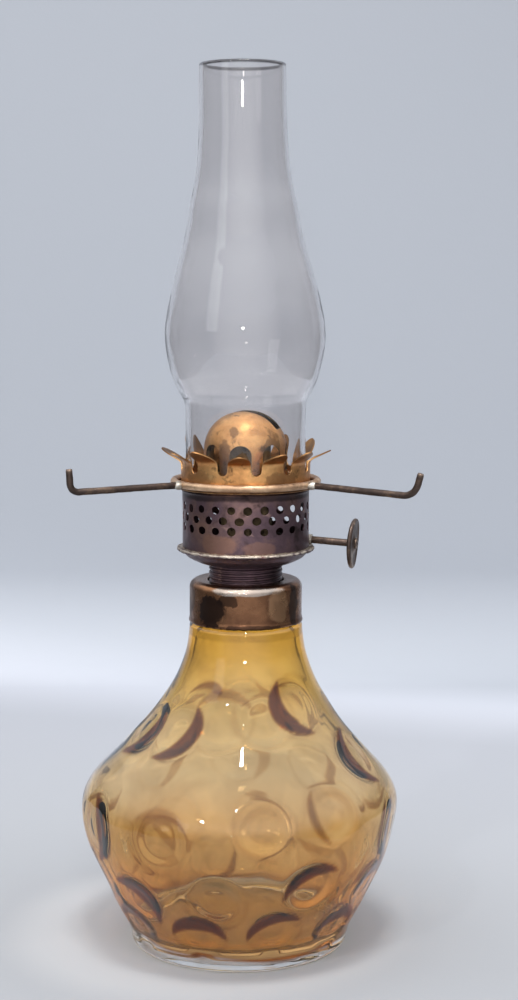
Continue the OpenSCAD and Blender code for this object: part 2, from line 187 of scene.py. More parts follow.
def add_object(name, verts, faces, materials, face_slots=None, flat=False):
    """A mesh object from millimetre points."""
    mesh = bpy.data.meshes.new(name)
    mesh.from_pydata([tuple(c * MM for c in v) for v in verts], [], faces)
    mesh.validate()
    obj = bpy.data.objects.new(name, mesh)
    scene.collection.objects.link(obj)
    for m in materials:
        mesh.materials.append(m)
    if face_slots:
        mesh.polygons.foreach_set("material_index", face_slots)
    mesh.polygons.foreach_set("use_smooth", [not flat] * len(mesh.polygons))
    bm = bmesh.new()
    bm.from_mesh(mesh)
    bmesh.ops.recalc_face_normals(bm, faces=bm.faces)
    bm.to_mesh(mesh)
    bm.free()
    return obj


def lathe(name, path, materials, segments=192, shape=None, closed=False, slot_of=None):
    """Revolves a path of (r, z) points. A point on the axis becomes one vertex.
    shape(r, z, angle, index) may return a moved (r, z)."""
    verts, rings = [], []
    for i, (r, z) in enumerate(path):
        if r < 1e-6:
            rings.append([len(verts)])
            verts.append((0, 0, z))
            continue
        ring = []
        for k in range(segments):
            a = TAU * k / segments
            rr, zz = shape(r, z, a, i) if shape else (r, z)
            ring.append(len(verts))
            verts.append((rr * math.cos(a), rr * math.sin(a), zz))
        rings.append(ring)
    faces, slots = [], []
    pairs = list(zip(range(len(rings) - 1), range(1, len(rings))))
    if closed:
        pairs.append((len(rings) - 1, 0))
    for i, j in pairs:
        lower, upper = rings[i], rings[j]
        for k in range(segments):
            n = (k + 1) % segments
            if len(lower) == 1 and len(upper) == 1:
                continue
            if len(lower) == 1:
                faces.append((lower[0], upper[n], upper[k]))
            elif len(upper) == 1:
                faces.append((lower[k], lower[n], upper[0]))
            else:
                faces.append((lower[k], lower[n], upper[n], upper[k]))
            slots.append(slot_of(i) if slot_of else 0)
    return add_object(name, verts, faces, materials, slots)


def tube(name, points, r, materials, sides=20, wobble=0.0, seed=0, ends=True, rough=1.2):
    """A round bar along 3-D millimetre points, its surface a little uneven."""
    verts, faces = [], []
    pts = [Vector(p) for p in points]
    normal = None
    for i, p in enumerate(pts):
        ahead = pts[min(i + 1, len(pts) - 1)] - pts[max(i - 1, 0)]
        ahead.normalize()
        if normal is None:
            normal = ahead.orthogonal().normalized()
        normal = (normal - ahead * normal.dot(ahead)).normalized()
        other = ahead.cross(normal)
        rr = r(i / (len(pts) - 1)) if callable(r) else r
        for k in range(sides):
            a = TAU * k / sides
            d = normal * math.cos(a) + other * math.sin(a)
            q = p + d * rr
            q = q + d * wobble * noise.noise(q * rough + Vector((seed, 0, 0)))
            verts.append(tuple(q))
    faces += quads(len(pts) - 1, sides)
    if ends:
        for i, p in ((0, pts[0]), (len(pts) - 1, pts[-1])):
            verts.append(tuple(p))
            centre = len(verts) - 1
            for k in range(sides):
                n = (k + 1) % sides
                pair = (i * sides + k, i * sides + n)
                faces.append((centre, *(pair if i else pair[::-1])))
    return add_object(name, verts, faces, materials)


def apply_modifier(obj, kind, **settings):
    mod = obj.modifiers.new(kind.lower(), kind)
    for key, value in settings.items():
        setattr(mod, key, value)
    bpy.context.view_layer.objects.active = obj
    obj.select_set(True)
    bpy.ops.object.modifier_apply(modifier=mod.name)
    obj.select_set(False)


def smooth_by_angle(obj, degrees):
    obj.data.shade_smooth() if hasattr(obj.data, "shade_smooth") else None
    obj.data.set_sharp_from_angle(angle=math.radians(degrees))


def finish_piece(obj, body, node):
    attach(obj, body)
    if node:
        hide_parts(*([node] if isinstance(node, str) else node))
    return obj


# ---------------------------------------------------------------------------
# Materials


def new_material(name):
    mat = bpy.data.materials.new(name)
    mat.use_nodes = True
    tree = mat.node_tree
    return mat, tree, tree.nodes["Principled BSDF"]


def noise_node(tree, coords, scale, detail=6.0, rough=0.6, distortion=0.0):
    n = tree.nodes.new("ShaderNodeTexNoise")
    n.inputs["Scale"].default_value = scale
    n.inputs["Detail"].default_value = detail
    n.inputs["Roughness"].default_value = rough
    n.inputs["Distortion"].default_value = distortion
    tree.links.new(coords, n.inputs["Vector"])
    return n.outputs["Fac"]


def ramp(tree, factor, stops, interpolation="LINEAR"):
    n = tree.nodes.new("ShaderNodeValToRGB")
    n.color_ramp.interpolation = interpolation
    elements = n.color_ramp.elements
    while len(elements) < len(stops):
        elements.new(0.5)
    for e, (pos, colour) in zip(elements, stops):
        e.position = pos
        e.color = (*colour, 1) if len(colour) == 3 else colour
    tree.links.new(factor, n.inputs["Fac"])
    return n.outputs["Color"]


def grey(v):
    return (v, v, v)


def mix(tree, factor, a, b, mode="MIX"):
    n = tree.nodes.new("ShaderNodeMix")
    n.data_type = "RGBA"
    n.blend_type = mode
    for value, socket in ((factor, n.inputs[0]), (a, n.inputs[6]), (b, n.inputs[7])):
        if isinstance(value, (int, float)):
            socket.default_value = value
        elif isinstance(value, tuple):
            socket.default_value = (*value, 1)
        else:
            tree.links.new(value, socket)
    return n.outputs[2]


def maths(tree, op, a, b=0.0, clamp=False):
    n = tree.nodes.new("ShaderNodeMath")
    n.operation = op
    n.use_clamp = clamp
    for value, socket in ((a, n.inputs[0]), (b, n.inputs[1])):
        if isinstance(value, (int, float)):
            socket.default_value = value
        else:
            tree.links.new(value, socket)
    return n.outputs[0]


def object_coords(tree):
    return tree.nodes.new("ShaderNodeTexCoord").outputs["Object"]


def separate(tree, coords):
    n = tree.nodes.new("ShaderNodeSeparateXYZ")
    tree.links.new(coords, n.inputs[0])
    return n.outputs


def bump(tree, bsdf, height, distance, strength=1.0):
    n = tree.nodes.new("ShaderNodeBump")
    n.inputs["Distance"].default_value = distance
    n.inputs["Strength"].default_value = strength
    tree.links.new(height, n.inputs["Height"])
    tree.links.new(n.outputs[0], bsdf.inputs["Normal"])


def patch(tree, coords, place, size, ragged, scale):
    """A patch mask: one inside an ellipsoid at a place (mm), nothing outside it, its edge ragged."""
    from_place = tree.nodes.new("ShaderNodeVectorMath")
    from_place.operation = "SUBTRACT"
    tree.links.new(coords, from_place.inputs[0])
    from_place.inputs[1].default_value = tuple(c * MM for c in place)
    scaled = tree.nodes.new("ShaderNodeVectorMath")
    scaled.operation = "MULTIPLY"
    tree.links.new(from_place.outputs[0], scaled.inputs[0])
    scaled.inputs[1].default_value = tuple(1 / (c * MM) for c in size)
    length = tree.nodes.new("ShaderNodeVectorMath")
    length.operation = "LENGTH"
    tree.links.new(scaled.outputs[0], length.inputs[0])
    unevenness = maths(tree, "SUBTRACT", noise_node(tree, coords, scale, 6, 0.65), 0.5)
    wander = maths(tree, "MULTIPLY", unevenness, ragged)
    edge = maths(tree, "ADD", length.outputs["Value"], wander)
    return ramp(tree, edge, [(0.80, grey(1.0)), (1.0, grey(0.0))])


def aged_metal(name, bright, middle, dark, balance=0.5, rough=(0.28, 0.55), metal=(1.0, 0.6),
               scale=90.0, spots=0.5, spot_colour=(0.02, 0.012, 0.01), wear=0.3, relief=0.00006):
    """Old brass: cloudy tarnish between three colours, dark spots, edges rubbed bright."""
    mat, tree, bsdf = new_material(name)
    coords = object_coords(tree)
    clouds = noise_node(tree, coords, scale, 8, 0.62, 0.6)
    patches = noise_node(tree, coords, scale * 0.35, 5, 0.55, 1.2)
    fine = noise_node(tree, coords, scale * 9, 6, 0.7)
    mottling = maths(tree, "ADD", maths(tree, "MULTIPLY", clouds, 0.55),
                     maths(tree, "MULTIPLY", patches, 0.45))
    colour = ramp(tree, mottling, [(balance - 0.16, dark), (balance, middle), (balance + 0.14, bright)])
    colour = mix(tree, 0.25, colour, ramp(tree, fine, [(0.3, grey(0.35)), (0.7, grey(1.0))]), "MULTIPLY")
    specks = ramp(tree, noise_node(tree, coords, scale * 3.2, 4, 0.55, 0.3),
                  [(0.60 - 0.06 * spots, grey(0.0)), (0.72 - 0.06 * spots, grey(1.0))])
    speck_mask = maths(tree, "MULTIPLY", specks, min(1.0, spots * 1.4))
    colour = mix(tree, speck_mask, colour, spot_colour)
    geometry = tree.nodes.new("ShaderNodeNewGeometry")
    edges = ramp(tree, geometry.outputs["Pointiness"], [(0.53, grey(0.0)), (0.60, grey(1.0))])
    worn = maths(tree, "MULTIPLY", maths(tree, "MULTIPLY", edges, wear), clouds)
    colour = mix(tree, worn, colour, tuple(min(1.0, c * 1.25 + 0.05) for c in bright))
    tree.links.new(colour, bsdf.inputs["Base Color"])
    lo, hi = rough
    tree.links.new(ramp(tree, mottling, [(balance - 0.2, grey(hi)), (balance + 0.2, grey(lo))]),
                   bsdf.inputs["Roughness"])
    metal_hi, metal_lo = metal
    tree.links.new(ramp(tree, mottling, [(balance - 0.18, grey(metal_lo)), (balance + 0.05, grey(metal_hi))]),
                   bsdf.inputs["Metallic"])
    bump(tree, bsdf, maths(tree, "ADD", fine, maths(tree, "MULTIPLY", clouds, 1.5)), relief)
    return mat


def clear_glass(name, colour=(1.0, 1.0, 1.0), ior=1.5):
    mat, tree, bsdf = new_material(name)
    bsdf.inputs["Base Color"].default_value = (*colour, 1)
    bsdf.inputs["Roughness"].default_value = 0.0
    bsdf.inputs["IOR"].default_value = ior
    bsdf.inputs["Transmission Weight"].default_value = 1.0
    coords = object_coords(tree)
    bump(tree, bsdf, noise_node(tree, coords, 55.0, 2, 0.5), 0.00025)
    return mat, tree, bsdf


def chimney_material():
    """Old clear glass, a trace grey, its fire-polished rim painted dark as painted shade, for the dark line
    the glass shows at the rim.
    """
    mat, tree, bsdf = clear_glass("clear_glass")
    z = separate(tree, object_coords(tree))[2]
    above_rim_start = maths(tree, "SUBTRACT", z, (CHIMNEY_Z + CHIMNEY_H - 1.5) * MM)
    from_rim = maths(tree, "MULTIPLY", above_rim_start, 1000, True)
    tree.links.new(ramp(tree, from_rim, [(0.45, (0.895, 0.875, 0.87)), (0.85, (0.20, 0.19, 0.20))]),
                   bsdf.inputs["Base Color"])
    return mat


def amber_glass(name):
    """The amber of the font, as a layer on its outer skin, deeper low down and at the neck."""
    mat, tree, bsdf = clear_glass(name)
    coords = object_coords(tree)
    z = separate(tree, coords)[2]
    height = maths(tree, "DIVIDE", z, FONT_H * MM, True)
    unevenness = maths(tree, "SUBTRACT", noise_node(tree, coords, 22.0, 3, 0.5), 0.5)
    wander = maths(tree, "MULTIPLY", unevenness, 0.12)
    colour = ramp(tree, maths(tree, "ADD", height, wander),
                  [(0.035, (1.0, 1.0, 1.0)), (0.052, (0.28, 0.07, 0.009)), (0.09, (0.80, 0.26, 0.035)),
                   (0.25, (0.97, 0.39, 0.065)),
                   (0.38, (0.92, 0.61, 0.25)), (0.60, (0.90, 0.61, 0.26)), (0.78, (0.98, 0.57, 0.11)),
                   (1.0, (0.97, 0.47, 0.045))])
    # smoky swirls in the layer, and a darker brown patch at the front middle
    swirls = ramp(tree, noise_node(tree, coords, 30.0, 4, 0.55, 1.6),
                  [(0.34, (0.60, 0.54, 0.45)), (0.50, (0.93, 0.91, 0.86)), (0.62, (1.0, 1.0, 1.0))])
    colour = mix(tree, 0.8, colour, swirls, "MULTIPLY")
    dark_front_patch = maths(tree, "MULTIPLY", patch(tree, coords, (9, -38, 50), (17, 16, 15), 1.3, 45), 0.6)
    colour = mix(tree, dark_front_patch, colour, (0.50, 0.33, 0.14))
    # painted shade: dark amber crescents and rings painted at the edges of the coin dots, standing in for the
    # dark edges that refraction shows there
    layer = tree.nodes.new("ShaderNodeAttribute")
    layer.attribute_name = "amber"
    depth = ramp(tree, layer.outputs["Fac"],
                 [(0.0, (1.0, 1.0, 1.0)), (0.2, (0.62, 0.45, 0.28)), (0.5, (0.20, 0.085, 0.03)),
                  (0.8, (0.10, 0.022, 0.003)), (1.0, (0.052, 0.007, 0.0008))])
    tree.links.new(mix(tree, 1.0, colour, depth, "MULTIPLY"), bsdf.inputs["Base Color"])
    return mat


GILT = aged_metal("gilt_brass", (0.92, 0.52, 0.21), (0.69, 0.345, 0.13), (0.25, 0.11, 0.045),
                  balance=0.5, rough=(0.26, 0.52), metal=(1.0, 0.8), scale=110, spots=0.5, wear=0.5)
DARK = aged_metal("dark_brass", (0.32, 0.19, 0.155), (0.135, 0.085, 0.10), (0.03, 0.02, 0.025),
                  balance=0.5, rough=(0.28, 0.5), metal=(0.95, 0.6), scale=80, spots=0.5, wear=0.9)
COLLAR = aged_metal("collar_brass", (0.33, 0.165, 0.085), (0.15, 0.07, 0.04), (0.05, 0.026, 0.018),
                    balance=0.47, rough=(0.2, 0.42), metal=(1.0, 0.8), scale=60, spots=0.3, wear=0.7)
RING = aged_metal("ring_brass", (0.72, 0.50, 0.32), (0.45, 0.28, 0.17), (0.12, 0.065, 0.04),
                  balance=0.46, rough=(0.35, 0.6), metal=(0.9, 0.7), scale=150, spots=0.3, wear=0.6)
WIRE = aged_metal("bronze_wire", (0.26, 0.18, 0.125), (0.085, 0.058, 0.047), (0.022, 0.015, 0.013),
                  balance=0.5, rough=(0.3, 0.55), metal=(0.9, 0.6), scale=160, spots=0.4, wear=0.8)
INNER = aged_metal("inner_brass", (0.42, 0.31, 0.17), (0.22, 0.15, 0.08), (0.03, 0.02, 0.015),
                   balance=0.52, rough=(0.4, 0.7), metal=(0.8, 0.5), scale=120, spots=0.8, wear=0.3)
def lay_stains_and_painted_light(mat, patches, colour, rough):
    """Lays patches of one colour over a finished metal: stains, and painted light or shade."""
    tree = mat.node_tree
    bsdf = tree.nodes["Principled BSDF"]
    coords = object_coords(tree)
    base = bsdf.inputs["Base Color"].links[0].from_socket
    shine = bsdf.inputs["Roughness"].links[0].from_socket
    for place, size, ragged, scale, strength in patches:
        mask = maths(tree, "MULTIPLY", patch(tree, coords, place, size, ragged, scale), strength)
        base = mix(tree, mask, base, colour)
        shine = mix(tree, mask, shine, grey(rough))
    tree.links.new(base, bsdf.inputs["Base Color"])
    tree.links.new(shine, bsdf.inputs["Roughness"])


SOLDER = aged_metal("solder", (0.66, 0.62, 0.55), (0.44, 0.40, 0.34), (0.14, 0.11, 0.09),
                    balance=0.45, rough=(0.4, 0.65), metal=(0.9, 0.6), scale=240, spots=0.4, wear=0.4)

# black tarnish at the left and right of the collar, a rim of it low down; then a painted highlight on the
# shoulder
lay_stains_and_painted_light(COLLAR, [((-9.5, -12, 93.5), (4.6, 5, 5.2), 1.6, 260, 0.95),
               ((-5.0, -14.5, 96.5), (3.0, 3, 2.2), 2.0, 500, 0.8),
               ((12.8, -9, 95), (1.5, 4, 6.5), 1.3, 300, 0.85), ((2, -15, 89.4), (10, 4, 0.9), 1.6, 400, 0.7),
               ((-15, -3, 96), (2.2, 5, 6), 1.4, 250, 0.6), ((6, 14, 94), (7, 5, 4), 2.0, 260, 0.9),
               ((-12, 9, 91), (4, 5, 4), 1.8, 260, 0.8)], (0.020, 0.012, 0.010), 0.45)
# painted highlight: pale silvery patches on the front and right of the collar's shoulder
lay_stains_and_painted_light(COLLAR, [((0, -14.2, 99.2), (12, 5, 1.3), 1.0, 200, 0.6), ((14, 4, 99.2), (5, 9, 1.2), 1.0, 200, 0.5)],
      (0.62, 0.56, 0.50), 0.22)
# painted light: a gold streak that lightens the collar's right side
lay_stains_and_painted_light(COLLAR, [((8.5, -12.5, 95), (3.4, 4, 4.6), 1.2, 220, 0.6)], (0.50, 0.29, 0.16), 0.28)
# painted shade: the drum's top band darkened all round under the shade ring, and the underside of the cup and
# its screw darkened
lay_stains_and_painted_light(DARK, [((0, 0, 124.4), (24, 24, 1.7), 0.5, 120, 0.75), ((5, 3, 102), (12, 12, 5.5), 0.4, 120, 0.6)],
      (0.016, 0.011, 0.012), 0.4)
lay_stains_and_painted_light(DARK, [((-7, -15, 112), (6, 4, 3.0), 1.2, 150, 0.55), ((4, -17, 111), (5, 4, 2.2), 1.4, 150, 0.35)],
      (0.36, 0.19, 0.13), 0.3)
lay_stains_and_painted_light(DARK, [((0, 0, 109.2), (25, 25, 0.5), 1.6, 520, 0.75)], (0.50, 0.44, 0.36), 0.45)
lay_stains_and_painted_light(GILT, [((-6, -9, 133), (3.0, 5, 6), 1.6, 260, 0.6), ((7, -8.5, 137), (2.4, 5, 5), 1.8, 300, 0.55),
             ((-3, -11, 141.5), (1.8, 4, 1.6), 1.6, 400, 0.6), ((9, -14, 129), (6, 6, 2.4), 1.8, 300, 0.55),
             ((-12, -12, 129), (5, 6, 2.5), 1.8, 300, 0.5)], (0.13, 0.065, 0.035), 0.5)

# painted shade: a dark band all round the crown's foot, where the shade ring sits against it
lay_stains_and_painted_light(GILT, [((0, 0, CROWN_Z + 0.7), (26, 26, 1.5), 0.3, 300, 0.8)], (0.07, 0.035, 0.022), 0.5)


def darken_petals():
    """The crown's petals, which stand in the flame's heat, are brown from their fold outward."""
    tree = GILT.node_tree
    bsdf = tree.nodes["Principled BSDF"]
    coords = object_coords(tree)
    x, y, z = separate(tree, coords)
    r = maths(tree, "SQRT", maths(tree, "ADD", maths(tree, "MULTIPLY", x, x), maths(tree, "MULTIPLY", y, y)))
    outward = maths(tree, "MULTIPLY", maths(tree, "SUBTRACT", r, 16.6 * MM), 700, True)
    above = maths(tree, "MULTIPLY", maths(tree, "SUBTRACT", z, 132.6 * MM), 500, True)
    mask = maths(tree, "MULTIPLY", maths(tree, "MULTIPLY", outward, above), 0.78)
    base = bsdf.inputs["Base Color"].links[0].from_socket
    tree.links.new(mix(tree, mask, base, (0.13, 0.06, 0.025)), bsdf.inputs["Base Color"])


darken_petals()
CLEAR = chimney_material()
FONT_CLEAR = clear_glass("font_glass", (0.985, 0.99, 1.0))[0]
AMBER = amber_glass("amber_layer")


def plaster_material():
    mat, tree, bsdf = new_material("plaster")
    coords = object_coords(tree)
    grain = noise_node(tree, coords, 700, 5, 0.6)
    tree.links.new(ramp(tree, grain, [(0.35, (0.52, 0.46, 0.36)), (0.65, (0.80, 0.76, 0.66))]),
                   bsdf.inputs["Base Color"])
    bsdf.inputs["Roughness"].default_value = 0.9
    bump(tree, bsdf, grain, 0.0001)
    return mat


def cotton_material():
    """Woven cotton, charred at the top."""
    mat, tree, bsdf = new_material("cotton")
    coords = object_coords(tree)
    z = separate(tree, coords)[2]
    fibres = noise_node(tree, coords, 1800, 4, 0.7)
    cloth = ramp(tree, fibres, [(0.3, (0.42, 0.36, 0.26)), (0.7, (0.74, 0.68, 0.55))])
    edge = maths(tree, "MULTIPLY", noise_node(tree, coords, 400, 3, 0.6), 0.003)
    burnt = ramp(tree, maths(tree, "MULTIPLY", maths(tree, "SUBTRACT", maths(tree, "ADD", z, edge),
                                                     (DOME_TOP - 14) * MM), 160, True),
                 [(0.0, grey(0.0)), (1.0, grey(1.0))])
    tree.links.new(mix(tree, burnt, cloth, (0.018, 0.015, 0.013)), bsdf.inputs["Base Color"])
    bsdf.inputs["Roughness"].default_value = 0.95
    bump(tree, bsdf, fibres, 0.0001)
    return mat


PLASTER = plaster_material()
COTTON = cotton_material()

# ---------------------------------------------------------------------------
# Font


def font_path():
    foot = (FOOT_R, 0.8)
    belly = (BELLY_R, BELLY_Z)
    neck = (COLLAR_R - 0.1, FONT_H - 0.7)
    return spline([
        foot,
        between(foot, belly, 0.08, 0.12),
        between(foot, belly, 0.33, 0.30),
        between(foot, belly, 0.78, 0.66),
        belly,
        between(belly, neck, 0.075, 0.16),
        between(belly, neck, 0.42, 0.37),
        between(belly, neck, 0.785, 0.63),
        between(belly, neck, 0.95, 0.83),
        neck], 12)


# Coin dots pressed into the glass: angle to the right of the front, height, radius; then the
# side of the dot that gets a painted shade crescent (0 right, 90 up), how dark, and over what share
FRONT_DOTS = [
    (-76, 61, 9.5, -20, 1.0, 0.55), (-46, 63, 9.4, -25, 1.0, 0.5), (-15, 66, 9.6, 90, 0.35, 0.35),
    (14, 67, 9.6, 200, 0.1, 0.2), (42, 69, 9.2, 205, 1.0, 0.5), (72, 54, 9.6, 175, 1.0, 0.6),
    (-66, 36, 9.6, 5, 1.0, 0.6), (-30, 38, 9.6, 90, 0.2, 0.3), (9, 43, 9.0, 250, 0.12, 0.2),
    (38, 45, 9.6, 190, 0.45, 0.25), (76, 34, 9.6, 185, 1.0, 0.5),
    (-46, 18, 8.8, 50, 1.0, 0.6), (-9, 21, 9.0, 270, 0.2, 0.2), (29, 24, 9.0, 115, 1.0, 0.42),
    (66, 19, 8.8, 90, 0.9, 0.5),
    (-56, 9, 7.6, 90, 0.8, 0.5), (-18, 10.5, 8.0, 90, 1.0, 0.6), (16, 12, 8.0, 110, 1.0, 0.5),
    (50, 9.5, 7.8, 90, 0.9, 0.6),
]
# Rows round the back: height, radius, first angle, step, count
BACK_ROWS = [(62, 9.4, 106, 36, 5), (40, 9.6, 110, 35, 5), (20, 8.8, 102, 36, 6), (9.5, 7.8, 86, 36, 6)]


def make_dots(path):
    rng = random.Random(4)
    places = list(FRONT_DOTS)
    for height, size, first, step, count in BACK_ROWS:
        places += [(first + step * k + rng.uniform(-2, 2), height + rng.uniform(-1.2, 1.2), size,
                    rng.uniform(60, 300), rng.uniform(0.2, 0.6), 0.4) for k in range(count)]
    dots = []
    for turn, z, size, side, crescent_darkness, share in places:
        a = math.radians(turn - 90)
        b = math.radians(side)
        r = min(path, key=lambda p: abs(p[1] - z))[0]
        heading = Vector((-math.sin(a) * math.cos(b), math.cos(a) * math.cos(b), math.sin(b)))
        dots.append((polar(r, a, z), size, heading * (share + 0.6) * size, crescent_darkness))
    return dots


def coin(distance, size):
    """Depth share of a coin dot: nearly flat inside, falling away over its rim."""
    x = distance / size
    if x >= 1:
        return 0.0
    return (1 - smooth(0.5, 1.0, x)) * (0.86 + 0.14 * (1 - x * x))


def lean(obj, amount, z0, z1):
    """Pushes a piece sideways, from nothing at height z0 to the whole amount at z1."""
    for v in obj.data.vertices:
        v.co.x -= amount * MM * smooth(0, 1, (v.co.z / MM - z0) / (z1 - z0))


def build_font():
    outer = font_path()
    dots = make_dots(outer)
    outside_depth, inside_depth = 0.5, 1.15
    wall = 2.4
    foot = [(0, 0.5), (FOOT_R * 0.6, 0.45), (FOOT_R - 4.5, 0.35)] + arc(FOOT_R - 3.4, 0.45, 0.45, 200, 270, 4)
    foot += [(FOOT_R - 1.6, 0.0)] + arc(FOOT_R - 1.0, 1.0, 1.0, -90, -20, 4)
    skin = resample(outer[2:], 0.85)
    floor = 5.5
    cavity = [q for q in inset(outer, wall) if floor + 3.2 < q[1] < FONT_H - 2.5]
    edge = cavity[0][0]
    rim = [(COLLAR_R - 2.4, FONT_H + 0.4), (COLLAR_R - 2.4, COLLAR_TOP - 3.6)]
    rim += arc(COLLAR_R - 3.2, COLLAR_TOP - 3.4, 0.8, 0, 180, 6)
    rim += [(COLLAR_R - 4.0, FONT_H + 1.0)]
    inside = resample(cavity[::-1], 0.85)
    bottom_curve = spline([(edge, cavity[0][1]), (edge - 0.9, floor + 1.5), (edge - 3.0, floor + 0.35),
                           (edge - 7.0, floor), (edge * 0.4, floor - 0.1), (0, floor)], 6)[1:]
    bottom_curve = [(max(0.0, r), z) for r, z in bottom_curve]
    path = foot + skin + rim + inside + bottom_curve
    first_inside = len(foot) + len(skin) + len(rim) - 1
    normals = []
    for i in range(len(path)):
        q, p = at(path, i - 1), at(path, i + 1)
        dx, dz = p[0] - q[0], p[1] - q[1]
        n = math.hypot(dx, dz) or 1
        normals.append((-dz / n, dx / n))

    def shape(r, z, a, i):
        is_skin = len(foot) <= i < len(foot) + len(skin)
        is_inside = i >= first_inside
        if not (is_skin or is_inside):
            return r, z
        p = polar(r, a, z)
        deep = 0.0
        for centre, size, *_ in dots:
            d = (centre - p).length
            if d < size * 1.3:
                deep = max(deep, coin(d, size))
        n = normals[i]
        fade = smooth(1.0, 4.0, z) * (1 - smooth(FONT_H - 12, FONT_H - 2, z))
        wave = 0.25 * noise.noise(p * 0.05) * fade
        if is_skin:
            move = outside_depth * deep * fade + wave * 0.5
            return r + n[0] * move, z + n[1] * move
        # inside faces run downwards, so their normal points out of the cavity
        move = -(inside_depth * deep * fade) + wave
        return r + n[0] * move, z + n[1] * move

    obj = lathe("font_glass", path, [FONT_CLEAR, AMBER], segments=360, shape=shape,
                slot_of=lambda i: 1 if len(foot) <= i < len(foot) + len(skin) else 0)
    # painted shade: how dark the painted crescents and rings at the edges of the dots are
    amber = obj.data.attributes.new("amber", "FLOAT", "POINT")
    values = []
    for v in obj.data.vertices:
        p = v.co / MM
        value = 0.0
        if math.hypot(p.x, p.y) > 12:
            for centre, size, heading, crescent_darkness in dots:
                x = (p - centre).length / size
                if x < 1.25:
                    # what a wider circle, set back from the dot, leaves of the dot
                    beyond = (p - centre + heading).length / size
                    painted_crescent = (1 - smooth(0.88, 1.0, x)) * smooth(1.46, 1.60, beyond)
                    rim = 0.08 * math.exp(-((x - 0.9) / 0.08) ** 2)
                    value = max(value, rim, crescent_darkness * painted_crescent)
        values.append(value)
    amber.data.foreach_set("value", values)
    lean(obj, 1.9, 86, 30)
    return finish_piece(obj, "font_body", "font")


# ---------------------------------------------------------------------------
# Chimney


def build_chimney():
    base_h = 18.5
    base = (CHIMNEY_BASE_R, base_h)
    bulb = (BULB_R, 38.5)
    waist = (BULB_R * 0.67, CHIMNEY_H * 0.66)
    top_r = 11.6
    tip = (top_r, CHIMNEY_H)
    outer = spline([
        (CHIMNEY_BASE_R, 0), base,
        between(base, bulb, 0.30, 0.22),
        between(base, bulb, 0.72, 0.50),
        bulb,
        between(bulb, waist, 0.28, 0.36),
        between(bulb, waist, 0.76, 0.74),
        waist,
        between(waist, tip, 0.55, 0.22),
        between(waist, tip, 0.90, 0.55),
        tip], 10)
    wall = 1.2
    outer = [p for p in outer if 0.6 < p[1] < CHIMNEY_H - 0.7]
    inner = inset(outer, wall)
    round_r = wall / 2
    path = arc(CHIMNEY_BASE_R - round_r, round_r, round_r, -180, 0, 8)
    path += resample(outer, 1.1)
    path += arc(top_r - round_r, CHIMNEY_H - round_r, round_r, 0, 180, 8)
    path += resample(inner[::-1], 1.1)
    path = [(r, z + CHIMNEY_Z) for r, z in path]

    def shape(r, z, a, i):
        p = polar(r, a, z)
        free = smooth(CHIMNEY_Z + 3, CHIMNEY_Z + 30, z)
        return r + 0.22 * (noise.noise(p * 0.035) - 0.1) * free - 0.1 * free, z

    obj = lathe("chimney_glass", path, [CLEAR], segments=192, shape=shape, closed=True)
    lean(obj, 0.6, CHIMNEY_Z + 20, CHIMNEY_Z + CHIMNEY_H)
    return finish_piece(obj, "chimney_glass", "chimney")


# ---------------------------------------------------------------------------
# Collar


def build_collar():
    r = COLLAR_R
    t = 0.7
    round_r = 2.0
    bore = 10.4
    path = [(r - t, FONT_H + 0.5)]
    path += arc(r - 0.25, FONT_H + 0.5, 0.5, 180, 360, 10)
    path += [(r + 0.12, FONT_H + 1.1), (r, FONT_H + 1.6)]
    path += resample([(r, FONT_H + 1.8), (r, COLLAR_TOP - round_r - 0.1)], 0.7)
    path += arc(r - round_r, COLLAR_TOP - round_r, round_r, 0, 90, 10)
    path += resample([(r - round_r - 0.3, COLLAR_TOP), (bore + 0.4, COLLAR_TOP - 0.05)], 0.7)
    path += arc(bore + 0.3, COLLAR_TOP - 0.35, 0.3, 90, 180, 4)
    path += [(bore, COLLAR_TOP - 6.9), (bore + 0.6, COLLAR_TOP - 6.9), (bore + 0.6, COLLAR_TOP - 0.9),
             (r - round_r, COLLAR_TOP - t), (r - t, COLLAR_TOP - round_r)]

    def shape(rr, z, a, i):
        if rr < bore + 0.8:
            return rr, z
        p = polar(rr, a, z)
        dent = 0.14 * noise.noise(p * 0.16) + 0.05 * noise.noise(p * 0.5)
        ragged = 0.12 * noise.noise(p * 0.8) if z < FONT_H + 0.6 else 0.0
        return rr + dent - 0.1, z + ragged

    obj = lathe("collar_shell", path, [COLLAR], segments=220, shape=shape, closed=True)
    smooth_by_angle(obj, 50)
    return finish_piece(obj, "font_body", "collar")


# ---------------------------------------------------------------------------
# Burner shell


def thread_depth(z, a, pitch):
    """Share of a screw thread's depth at height z and angle a."""
    turn = (z / pitch - a / TAU) % 1.0
    return smooth(0.08, 0.34, turn) * (1 - smooth(0.62, 0.9, turn))


